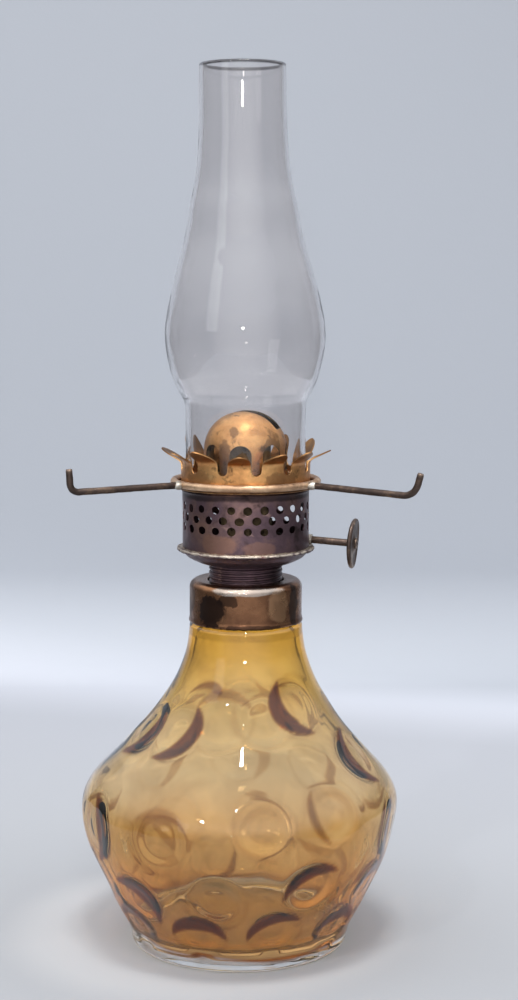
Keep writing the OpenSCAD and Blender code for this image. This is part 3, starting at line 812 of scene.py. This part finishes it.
def build_base_cup():
    crest = 10.0
    depth = 0.55
    pitch = 1.2
    inner = 8.95
    rim_r = radius("base_cup")
    ferrule = 9.0
    path = [(inner, CUP_Z - ferrule)]
    screw = resample([(crest, CUP_Z - ferrule), (crest, CUP_Z - 0.3)], 0.1)
    cup = spline([(crest - 0.3, CUP_Z - 0.1), (crest + 0.5, CUP_Z + 0.1), (crest + 2.6, CUP_Z + 0.5),
                  (DRUM_R - 1.6, CUP_Z + 1.9), (DRUM_R - 0.5, CUP_Z + 3.0),
                  (DRUM_R + 0.1, CUP_TOP - 0.95), (rim_r - 0.7, CUP_TOP - 0.75)], 6)
    rim = arc(rim_r - 0.45, CUP_TOP - 0.3, 0.45, -90, 120, 12)
    inside = [(DRUM_R + 0.15, CUP_TOP - 0.02), (DRUM_R - 1.2, CUP_TOP), (DRUM_R - 1.2, CUP_TOP - 0.7),
              (DRUM_R - 1.7, CUP_Z + 2.8), (DRUM_R - 2.9, CUP_Z + 1.9), (crest + 2.3, CUP_Z + 1.0),
              (crest - 0.2, CUP_Z + 0.7), (crest - 0.2, CUP_Z), (inner, CUP_Z)]
    first_screw, first_cup = len(path), len(path) + len(screw)
    first_rim = first_cup + len(cup)
    path = path + screw + cup + rim + inside

    def shape(r, z, a, i):
        if first_screw <= i < first_cup:
            low = CUP_Z - ferrule
            fade = smooth(low, low + 0.8, z) * (1 - smooth(CUP_Z - 0.9, CUP_Z - 0.3, z))
            return crest - depth + depth * thread_depth(z - CUP_Z, a, pitch) * fade, z
        p = polar(r, a, z)
        if first_rim <= i < len(path) - len(inside) + 1:
            crimp = 0.35 * noise.noise(p * 0.9) + 0.30 * noise.noise(p * 2.3)
            return r + min(0.0, crimp - 0.05), z + 0.22 * noise.noise(p * 1.4)
        if first_cup <= i < first_rim:
            return r + 0.06 * noise.noise(p * 0.5), z
        return r, z

    obj = lathe("cup_shell", path, [DARK], segments=260, shape=shape, closed=True)
    smooth_by_angle(obj, 60)
    return finish_piece(obj, "burner", "base_cup")


def build_drum():
    """Perforated drum: a strip of square cells with round holes, wrapped round the axis."""
    holes = 24
    r = DRUM_R
    height = CROWN_Z - DRUM_Z
    rows = [6.2, 9.0, 11.8]
    hole_r = 1.15
    cell_h = 2.8
    corner = 4                    # points along each side of a cell
    cell = TAU * r / holes
    rng = random.Random(7)
    verts, faces, index = [], [], {}

    def vertex(u, v):
        u = u % (TAU * r)
        key = (round(u, 3) % round(TAU * r, 3), round(v, 3))
        if key not in index:
            index[key] = len(verts)
            verts.append((u, v))
        return index[key]

    for n, row in enumerate(rows):
        for k in range(holes):
            cu = (k + (n % 2) / 2) * cell
            low, high = row - cell_h / 2, row + cell_h / 2
            edge = []
            for side in range(4):
                for s in range(corner):
                    t = s / corner
                    corners = ((cu - cell / 2 + t * cell, low),
                               (cu + cell / 2, low + t * cell_h),
                               (cu + cell / 2 - t * cell, high),
                               (cu - cell / 2, high - t * cell_h))
                    edge.append(corners[side])
            jitter = (rng.uniform(-0.14, 0.14), rng.uniform(-0.12, 0.12))
            size = hole_r * rng.uniform(0.92, 1.06)
            squash = rng.uniform(0.93, 1.07)
            outer_ring = [vertex(*e) for e in edge]
            rings = []
            for grow in (1.12, 1.0):
                ring = []
                for e in edge:
                    a = math.atan2(e[1] - row, e[0] - cu)
                    ring.append(len(verts))
                    verts.append((cu + jitter[0] + size * grow * squash * math.cos(a),
                                  row + jitter[1] + size * grow / squash * math.sin(a)))
                rings.append(ring)
            count = len(edge)
            for a_ring, b_ring in ((outer_ring, rings[0]), (rings[0], rings[1])):
                for i in range(count):
                    j = (i + 1) % count
                    faces.append((a_ring[i], a_ring[j], b_ring[j], b_ring[i]))
    columns = [k * cell / corner for k in range(holes * corner)]
    bands = [[0.0, 0.3, 0.8, 1.8, 2.8, 3.8, rows[0] - cell_h / 2],
             [rows[-1] + cell_h / 2, 13.9, 14.5, height - 1.25, height - 1.0, height - 0.7, height - 0.45,
              height - 0.2, height]]
    for band in bands:
        for low, high in zip(band, band[1:]):
            for i, u in enumerate(columns):
                w = columns[(i + 1) % len(columns)]
                faces.append((vertex(u, low), vertex(w, low), vertex(w, high), vertex(u, high)))
    wrapped = []
    for u, v in verts:
        a = u / r - WICK_TURN
        bead = 0.28 * math.exp(-((v - (height - 0.7)) / 0.28) ** 2)
        p = polar(r, a, v)
        rr = r + bead + 0.10 * noise.noise(p * 0.18) - 0.06
        wrapped.append((rr * math.cos(a), rr * math.sin(a), v + DRUM_Z))
    obj = add_object("drum_shell", wrapped, faces, [DARK])
    apply_modifier(obj, "SOLIDIFY", thickness=0.4 * MM, offset=-1.0)
    apply_modifier(obj, "BEVEL", width=0.07 * MM, segments=2, limit_method="ANGLE",
                   angle_limit=math.radians(50))
    smooth_by_angle(obj, 40)
    return finish_piece(obj, "burner", "air_drum")


# Each petal of the crown, from the front right one round to the left: its lean in degrees,
# the height of its bend and its sideways lean
PETALS = [(62, 7.6, 0.05), (58, 7.2, -0.1), (66, 7.0, 0.08), (40, 6.8, 0.12),
          (30, 7.4, -0.05), (24, 7.0, 0.1), (34, 7.2, -0.08), (14, 6.6, 0.1),
          (60, 6.6, -0.06), (64, 7.3, 0.1), (57, 7.7, -0.08), (66, 7.4, 0.04)]


def build_crown():
    """Twelve petals cut between round notches, bent by hand over many years."""
    petals = len(PETALS)
    band_r = CHIMNEY_BASE_R + 0.3 + 0.45
    foot_r = band_r + 1.8
    notch = 1.35
    notch_z = 4.6 + notch
    petal_top = 13.6
    rng = random.Random(11)
    pitch = TAU / petals
    start = math.radians(-80.6)
    half = band_r * pitch / 2
    verts, faces = [], []
    across, rows = 16, 26

    def half_width(v):
        """Half width of a petal at height v above the crown's foot."""
        if v <= notch_z - notch:
            return half
        if v < notch_z:
            return half - math.sqrt(max(0.0, notch ** 2 - (notch_z - v) ** 2))
        span = (v - notch_z) / (petal_top - notch_z)
        return max(0.0, (half - notch) * (1 - span ** 2.4) ** 0.62)

    def fold(v, reach, bend):
        """(outward, height) of a point v along a petal that is bent out at a height."""
        out, up, steps = 0.0, 0.0, 40
        for n in range(steps):
            angle = reach * smooth(bend - 1.0, bend + 1.6, v * (n + 0.5) / steps)
            out += math.sin(angle) * v / steps
            up += math.cos(angle) * v / steps
        return out, up

    for k in range(petals):
        centre = start + (k + 0.5) * pitch
        degrees, bend, side_lean = PETALS[k]
        reach = math.radians(degrees)
        twist = rng.uniform(-0.14, 0.14)
        levels = []
        for j in range(rows + 1):
            if j <= 4:
                v = (notch_z - notch) * j / 4
            elif j <= 13:
                v = notch_z - notch * math.cos(math.pi / 2 * (j - 4) / 9)
            else:
                t = (j - 13) / (rows - 13)
                v = notch_z + (petal_top - notch_z) * (1 - (1 - t) ** 1.6)
            levels.append(v)
        base = len(verts)
        for v in levels:
            w = half_width(v)
            for i in range(across + 1):
                x = -1 + 2 * i / across
                u = x * w
                out, up = fold(v, reach, bend)
                free = smooth(notch_z - notch, petal_top, v)
                out += twist * u * free * 2.2
                u += side_lean * (v - notch_z) * free * 2
                curl = -0.06 * (u ** 2) * free          # cupped across its width
                rr = band_r + out + curl * 0.3
                a = centre + u / band_r * (1 - 0.10 * free)
                verts.append((rr * math.cos(a), rr * math.sin(a), up + CROWN_Z))
        faces += quads(rows, across, base, closed=False)
    # flange under the band, which carries the shade ring
    segs = petals * across
    ring_rows = []
    for r, z in ((band_r - 1.5, 0.0), (foot_r - 0.1, 0.0), (foot_r, 0.1),
                 (foot_r, 0.35), (foot_r - 0.1, 0.45), (band_r + 0.25, 0.45)):
        ring_rows.append(len(verts))
        for i in range(segs):
            a = start + TAU * i / segs
            verts.append((r * math.cos(a), r * math.sin(a), z + CROWN_Z))
    for a_row, b_row in zip(ring_rows, ring_rows[1:]):
        for i in range(segs):
            j = (i + 1) % segs
            faces.append((a_row + i, a_row + j, b_row + j, b_row + i))
    obj = add_object("crown_shell", verts, faces, [GILT])
    merge_points(obj, 0.00003)
    apply_modifier(obj, "SOLIDIFY", thickness=0.36 * MM, offset=-1.0)
    smooth_by_angle(obj, 50)
    return finish_piece(obj, "burner", "crown")


def build_dome():
    r = DOME_R
    centre = DOME_TOP - r
    t = 0.45
    brim = CHIMNEY_BASE_R + 0.2
    lip_z = CROWN_Z + 0.45
    path = [(brim, lip_z), (brim, BRIM_Z - 0.3)] + arc(brim - 0.3, BRIM_Z - 0.3, 0.3, 0, 90, 4)
    path += [(r + 0.6, BRIM_Z)] + arc(r + 0.6, BRIM_Z + 0.6, 0.6, 270, 180, 4)
    path += resample([(r, BRIM_Z + 0.8), (r, centre)], 0.6)
    path += arc(0, centre, r, 2, 90, 48)[:-1] + [(0, centre + r)]
    inner = [(0, centre + r - t)] + arc(0, centre, r - t, 90, 2, 36)[1:]
    inner += resample([(r - t, centre), (r - t, BRIM_Z - t)], 1.0)
    inner += [(brim - t, BRIM_Z - t), (brim - t, lip_z)]
    obj = lathe("dome_shell", path + inner, [GILT, INNER], segments=160, closed=True,
                slot_of=lambda i: 1 if i >= len(path) - 1 else 0)
    cutter_verts, cutter_faces = [], []

    def prism(outline, place, depth):
        """A closed cutter: an outline in its own (x, z) plane, drawn out along y."""
        n, first = len(outline), len(cutter_verts)
        for y in depth:
            for x, z in outline:
                cutter_verts.append(tuple(place @ Vector((x, y, z))))
        cutter_faces.append(tuple(first + i for i in range(n)))
        cutter_faces.append(tuple(first + n + i for i in reversed(range(n))))
        for i in range(n):
            j = (i + 1) % n
            cutter_faces.append((first + j, first + i, first + n + i, first + n + j))

    slot = Matrix.Rotation(-WICK_TURN, 4, "Z")
    z0 = centre + r * 0.55
    half_slot = 2.95
    outline = [(-r - 1, z0 + 0.8), (-r - 0.2, z0), (r + 0.2, z0), (r + 1, z0 + 0.8),
               (r + 1, z0 + r), (-r - 1, z0 + r)]
    prism(outline, slot, (-half_slot, half_slot))
    windows, half_w = 8, 2.9
    low, high = BRIM_Z + 2.4, centre - 0.3
    arch = [(-half_w, low), (half_w, low)] + [(half_w * math.cos(a), high + half_w * 0.9 * math.sin(a))
                                             for a in (math.pi * k / 14 for k in range(15))]
    for k in range(windows):
        turn = Matrix.Rotation(math.radians(-97 + 90 + k * 360 / windows), 4, "Z")
        prism(arch, turn, (-r - 2, -r + 2.5))
    cutter = add_object("dome_cutter", cutter_verts, cutter_faces, [INNER], flat=True)
    apply_modifier(obj, "BOOLEAN", operation="DIFFERENCE", object=cutter, solver="EXACT")
    bpy.data.objects.remove(cutter)
    smooth_by_angle(obj, 40)
    return finish_piece(obj, "burner", "dome")


# ---------------------------------------------------------------------------
# Wick raiser

def shaft_matrix():
    """The shaft's own frame: X along the shaft, Z up, in millimetres."""
    low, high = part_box("spur_wheel_left")
    low2, high2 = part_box("spur_wheel_right")
    mid_z = ((low.z + high.z) / 2 + (low2.z + high2.z) / 2) / 2 / MM
    return (Matrix.Translation((0, 0, mid_z)) @ Matrix.Rotation(-WICK_TURN, 4, "Z")
            @ Matrix.Translation((0, SHAFT_OFF, 0)) @ Matrix.Rotation(SHAFT_DROOP, 4, "Y"))


def build_shaft():
    m = shaft_matrix()
    tail, steps = 7.4, 40
    length = SHAFT_REACH + tail + 0.3
    pts = [m @ Vector((-tail + length * k / steps, 0, 0)) for k in range(steps + 1)]
    obj = tube("shaft_rod", pts, 0.99, [WIRE], sides=24, wobble=0.05, seed=3)
    return finish_piece(obj, "wick_raiser", "spindle")


def build_thumbwheel():
    """Pressed disc with a rolled edge, a dished web and a raised hub."""
    r = 6.85
    half = 0.6
    web = 0.28
    path = [(1.05, -half), (1.9, -half), (2.3, -web - 0.05), (3.6, -web + 0.02), (r - 1.9, -web)]
    path += arc(r - half, 0, half, -140, 140, 16)
    path += [(r - 1.9, web), (3.6, web - 0.02), (2.3, web + 0.05), (1.9, half), (1.05, half)]

    def shape(rr, z, a, i):
        p = polar(rr, a, z)
        nick = 0.05 * noise.noise(p * 1.6)
        bend = 0.0035 * (rr ** 2) * math.cos(2 * a + 0.6)
        return rr + nick - 0.03, z + bend

    obj = lathe("thumb_disc", path, [WIRE], segments=120, shape=shape, closed=True)
    m = shaft_matrix() @ Matrix.Translation((SHAFT_REACH, 0, 0))
    m = m @ Matrix.Rotation(math.radians(90), 4, "Y")
    obj.data.transform(Matrix.Scale(MM, 4) @ m @ Matrix.Scale(1 / MM, 4))
    smooth_by_angle(obj, 50)
    return finish_piece(obj, "wick_raiser", "thumbwheel")


def build_rivet():
    path = [(0, 0.0), (1.5, 0.0), (1.55, 0.12), (1.42, 0.34),
            (1.0, 0.52), (0.45, 0.56), (0.3, 0.47), (0, 0.45)]

    def shape(rr, z, a, i):
        p = polar(rr, a, z)
        return rr * (1 + 0.05 * noise.noise(p * 1.5)), z

    obj = lathe("rivet_head", path, [WIRE], segments=48, shape=shape)
    m = shaft_matrix() @ Matrix.Translation((SHAFT_REACH + 0.65, 0, 0))
    m = m @ Matrix.Rotation(math.radians(90), 4, "Y")
    obj.data.transform(Matrix.Scale(MM, 4) @ m @ Matrix.Scale(1 / MM, 4))
    return finish_piece(obj, "wick_raiser", "wheel_rivet")


def build_wick():
    """Woven strip: thread relief over a flat bar, frayed at the burnt top."""
    low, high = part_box("wick")
    half_w, half_t = 6.1, 1.0
    z0, z1 = low.z / MM, high.z / MM - 0.2
    around, rows = 96, 170
    rng = random.Random(2)
    fray = [rng.uniform(-0.9, 0.2) for _ in range(around)]
    verts, faces = [], []
    for j in range(rows + 1):
        z = z0 + (z1 - z0) * j / rows
        for i in range(around):
            a = TAU * i / around
            c, s = math.cos(a), math.sin(a)
            x = half_w * math.copysign(abs(c) ** 0.35, c)
            y = half_t * math.copysign(abs(s) ** 0.6, s)
            weave = 0.09 * math.sin(x * 5.2) * math.sin(z * 4.6)
            top_fray = fray[i] * smooth(rows - 6, rows, j)
            verts.append((x, y * (1 + weave), z + top_fray))
    faces += quads(rows, around)
    for j, flip in ((0, True), (rows, False)):
        ring = [j * around + i for i in range(around)]
        for i in range(1, around // 2):
            quad = (ring[i - 1], ring[i], ring[-i - 1], ring[-i])
            faces.append(quad[::-1] if flip else quad)
    obj = add_object("wick_cloth", verts, faces, [COTTON])
    obj.data.transform(Matrix.Rotation(-WICK_TURN, 4, "Z"))
    return finish_piece(obj, "wick_strip", "wick")


# ---------------------------------------------------------------------------
# Shade holder


def build_ring():
    verts, faces = [], []
    segments, sides, wire_r = 180, 24, 1.0
    for k in range(segments):
        a = TAU * k / segments
        height = RING_Z + 0.05 * noise.noise(polar(1, a, 0) * 2)
        for i in range(sides):
            b = TAU * i / sides
            q = polar(RING_R + wire_r * math.cos(b), a, height + wire_r * math.sin(b))
            d = Vector((math.cos(a) * math.cos(b), math.sin(a) * math.cos(b), math.sin(b)))
            q = q + d * (0.07 * noise.noise(q * 0.5) + 0.03 * noise.noise(q * 1.9))
            verts.append(tuple(q))
    for k in range(segments):
        m = (k + 1) % segments
        for i in range(sides):
            n = (i + 1) % sides
            faces.append((k * sides + i, m * sides + i, m * sides + n, k * sides + n))
    obj = add_object("ring_wire", verts, faces, [RING])
    return finish_piece(obj, "shade_holder", "shade_ring")


# name, direction, droop, bend radius, lean of the upturned end, its height
ARMS = [("shade_arm_left", 210, 0.0, 2.4, 4, 6.2), ("shade_arm_right", 328, 1.8, 4.2, 16, 7.2),
        ("shade_arm_rear", 90, 0.0, 2.4, 2, 6.2)]
ARM_REACH = 52.0


def build_arm(name, direction, droop, bend, end_lean, rise):
    a = math.radians(direction)
    start = RING_R + 0.85
    tilt = math.radians(droop)
    turn = math.radians(90 - end_lean + droop)
    reach = ARM_REACH - bend
    flat = []
    steps = 26
    for k in range(steps + 1):
        s = start + (reach - start) * k / steps
        flat.append((s, -(s - RING_R) * math.sin(tilt)))
    s0, z0 = flat[-1]
    heading = -tilt
    arc_steps = 14
    for k in range(1, arc_steps + 1):
        heading = -tilt + turn * k / arc_steps
        mid = -tilt + turn * (k - 0.5) / arc_steps
        step = bend * turn / arc_steps
        s0, z0 = s0 + step * math.cos(mid), z0 + step * math.sin(mid)
        flat.append((s0, z0))
    up = max(0.5, rise - bend)
    for k in range(1, 7):
        flat.append((s0 + up * k / 6 * math.cos(heading), z0 + up * k / 6 * math.sin(heading)))
    pts = [(s * math.cos(a), s * math.sin(a), RING_Z + z) for s, z in flat]
    body = tube(name + "_wire", pts, lambda t: 0.9 * (1 - 0.12 * smooth(0.985, 1.0, t)), [WIRE],
                sides=20, wobble=0.09, seed=direction, rough=0.7)
    return finish_piece(body, "shade_holder", name)


def build_solder():
    """Lumpy beads of solder where the arms meet the ring."""
    verts, faces = [], []
    for arm in ARMS:
        direction = arm[1]
        a = math.radians(direction)
        along = Vector((math.cos(a), math.sin(a), 0))
        side = Vector((-math.sin(a), math.cos(a), 0))
        centre = along * (RING_R + 1.15) + Vector((0, 0, RING_Z - 0.05))
        base = len(verts)
        rows, sides = 16, 24
        for j in range(rows + 1):
            lat = math.pi * j / rows
            for i in range(sides):
                b = TAU * i / sides
                d = along * math.cos(lat) + (side * math.cos(b) + Vector((0, 0, math.sin(b)))) * math.sin(lat)
                size = Vector((1.9 if math.cos(lat) > 0 else 1.0, 1.55, 1.12))
                q = centre + along * size.x * math.cos(lat)
                q += (side * size.y * math.cos(b) + Vector((0, 0, size.z * math.sin(b)))) * math.sin(lat)
                q += d * 0.22 * noise.noise(q * 0.9)
                verts.append(tuple(q))
        faces += quads(rows, sides, base)
    obj = add_object("solder_beads", verts, faces, [SOLDER])
    merge_points(obj, 0.000002, recalculate=True)
    return finish_piece(obj, "shade_holder", "arm_solder")


# ---------------------------------------------------------------------------
# Inner pieces kept from the frame


def dress(node, material):
    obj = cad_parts[node]
    obj.data.materials.clear()
    obj.data.materials.append(material)


def dress_inner_pieces():
    for node in ("tube_plate", "air_plate", "wick_tube", "vent_tube", "spur_cover",
                 "spur_wheel_left", "spur_wheel_right"):
        dress(node, INNER)
    dress("shaft_bushing", SOLDER)
    dress("collar_plaster", PLASTER)


# ---------------------------------------------------------------------------
# Stage, light and camera


def build_stage():
    """Pale seamless sweep: floor, bend and wall."""
    mat, tree, bsdf = new_material("paper_sweep")
    coords = object_coords(tree)
    soft = noise_node(tree, coords, 2.5, 3, 0.5)
    x, y, z = separate(tree, coords)
    # painted light and shade on the paper: a bright band across the bend, slanting from left to right, and
    # darker towards the front edge and up the wall
    rise = maths(tree, "ADD", maths(tree, "ADD", y, z), maths(tree, "MULTIPLY", x, 0.26))
    paper_and_painted_light = ramp(tree, maths(tree, "ADD", rise, maths(tree, "MULTIPLY", soft, 0.02)),
                 [(0.0, (0.27, 0.279, 0.298)), (0.10, (0.330, 0.341, 0.364)),
                  (0.235, (0.357, 0.368, 0.405)), (0.265, (0.41, 0.424, 0.465)),
                  (0.295, (0.485, 0.503, 0.556)), (0.315, (0.455, 0.475, 0.526)),
                  (0.345, (0.385, 0.408, 0.45)), (0.40, (0.335, 0.356, 0.395)),
                  (0.60, (0.334, 0.354, 0.394)), (0.78, (0.27, 0.287, 0.323))],
                 "B_SPLINE")
    # painted light: the paper painted paler round the foot, for the light the glass gathers there
    near = tree.nodes.new("ShaderNodeVectorMath")
    near.operation = "DISTANCE"
    tree.links.new(coords, near.inputs[0])
    near.inputs[1].default_value = (-0.012, 0.004, 0.0)
    painted_foot_light = ramp(tree, near.outputs["Value"],
                [(0.028, grey(0.24)), (0.042, grey(0.12)), (0.062, grey(0.0))], "EASE")
    paper_and_painted_light = mix(tree, painted_foot_light, paper_and_painted_light, (0.95, 0.93, 0.93))
    tree.links.new(paper_and_painted_light, bsdf.inputs["Base Color"])
    bsdf.inputs["Roughness"].default_value = 0.75
    bump(tree, bsdf, noise_node(tree, coords, 900, 3, 0.6), 0.00003)
    # one-sided, so that the wall doesn't stand between the lamp and a view from behind
    geometry = tree.nodes.new("ShaderNodeNewGeometry")
    clear = tree.nodes.new("ShaderNodeBsdfTransparent")
    side = tree.nodes.new("ShaderNodeMixShader")
    output = next(n for n in tree.nodes if n.type == "OUTPUT_MATERIAL")
    tree.links.new(geometry.outputs["Backfacing"], side.inputs[0])
    tree.links.new(bsdf.outputs[0], side.inputs[1])
    tree.links.new(clear.outputs[0], side.inputs[2])
    tree.links.new(side.outputs[0], output.inputs["Surface"])
    bend, wall_y = 0.045, 0.345
    path = [(-0.42, 0.0), (wall_y - bend, 0.0)]
    path += [(wall_y - bend + bend * math.sin(math.radians(t)), bend - bend * math.cos(math.radians(t)))
             for t in range(5, 91, 5)]
    path += [(wall_y, 0.62)]
    verts, faces = [], []
    for y, z in path:
        verts += [(-340, y / MM, z / MM), (340, y / MM, z / MM)]
    faces += quads(len(path) - 1, 1, closed=False)
    obj = add_object("paper_sweep", verts, faces, [mat])
    if obj.data.polygons[0].normal.z < 0:
        obj.data.flip_normals()


def area_light(name, place, target, size, power, colour):
    data = bpy.data.lights.new(name, "AREA")
    data.shape = "RECTANGLE"
    data.size, data.size_y = size
    data.energy = power
    data.color = colour
    obj = bpy.data.objects.new(name, data)
    scene.collection.objects.link(obj)
    obj.location = place
    obj.rotation_euler = (Vector(target) - Vector(place)).to_track_quat("-Z", "Y").to_euler()
    return obj


def build_light():
    world = bpy.data.worlds.new("soft_room")
    scene.world = world
    world.use_nodes = True
    tree = world.node_tree
    background = tree.nodes["Background"]
    coords = tree.nodes.new("ShaderNodeTexCoord").outputs["Generated"]
    _, y, z = separate(tree, coords)
    colour = ramp(tree, maths(tree, "ADD", maths(tree, "MULTIPLY", z, 0.5), 0.5),
                  [(0.0, (0.16, 0.165, 0.17)), (0.47, (0.09, 0.092, 0.095)), (0.60, (0.22, 0.225, 0.24)),
                   (0.78, (0.86, 0.88, 0.91)), (1.0, (1.0, 1.01, 1.03))])
    front = ramp(tree, maths(tree, "MULTIPLY", y, -1.0), [(0.55, grey(0.0)), (0.95, (0.42, 0.42, 0.43))])
    colour = mix(tree, 1.0, colour, front, "ADD")
    tree.links.new(colour, background.inputs["Color"])
    background.inputs["Strength"].default_value = 1.75
    area_light("key", (0.03, -0.22, 0.95), (0, 0.02, 0.1), (0.20, 0.14), 5.0, (1.0, 0.99, 0.96))
    area_light("window", (-0.8, -0.7, 0.5), (0, 0, 0.12), (0.35, 0.5), 0.5, (0.95, 0.98, 1.0))
    area_light("bulb_high", (0.0, -0.47, 0.88), (0, 0, 0.06), (0.035, 0.05), 0.6, (1.0, 1.0, 1.0))
    area_light("bulb_front", (-0.03, -0.95, 0.32), (0, 0, 0.06), (0.06, 0.03), 0.7, (1.0, 0.98, 0.94))
    area_light("bulb_left", (-0.34, -0.55, 0.62), (0, 0, 0.06), (0.03, 0.03), 0.8, (1.0, 1.0, 1.0))


def build_camera():
    data = bpy.data.cameras.new("camera")
    obj = bpy.data.objects.new("camera", data)
    scene.collection.objects.link(obj)
    scene.camera = obj
    data.sensor_fit = "VERTICAL"
    data.sensor_height = 24.0
    data.lens = 43.9
    obj.location = (0.0, -0.492, 0.185)
    obj.rotation_euler = (math.radians(90 - 7.3), 0, math.radians(-0.42))
    data.clip_start = 0.01


# ---------------------------------------------------------------------------

build_camera()
build_stage()
build_light()
build_font()
build_chimney()
build_collar()
build_base_cup()
build_drum()
build_crown()
build_dome()
build_shaft()
build_thumbwheel()
build_rivet()
build_wick()
build_ring()
for arm in ARMS:
    build_arm(*arm)
build_solder()
dress_inner_pieces()

scene.view_settings.view_transform = "Standard"
scene.view_settings.look = "None"
scene.cycles.use_denoising = True
scene.cycles.max_bounces = 24
scene.cycles.transmission_bounces = 24
scene.cycles.transparent_max_bounces = 16
scene.cycles.glossy_bounces = 8
scene.cycles.sample_clamp_indirect = 8.0
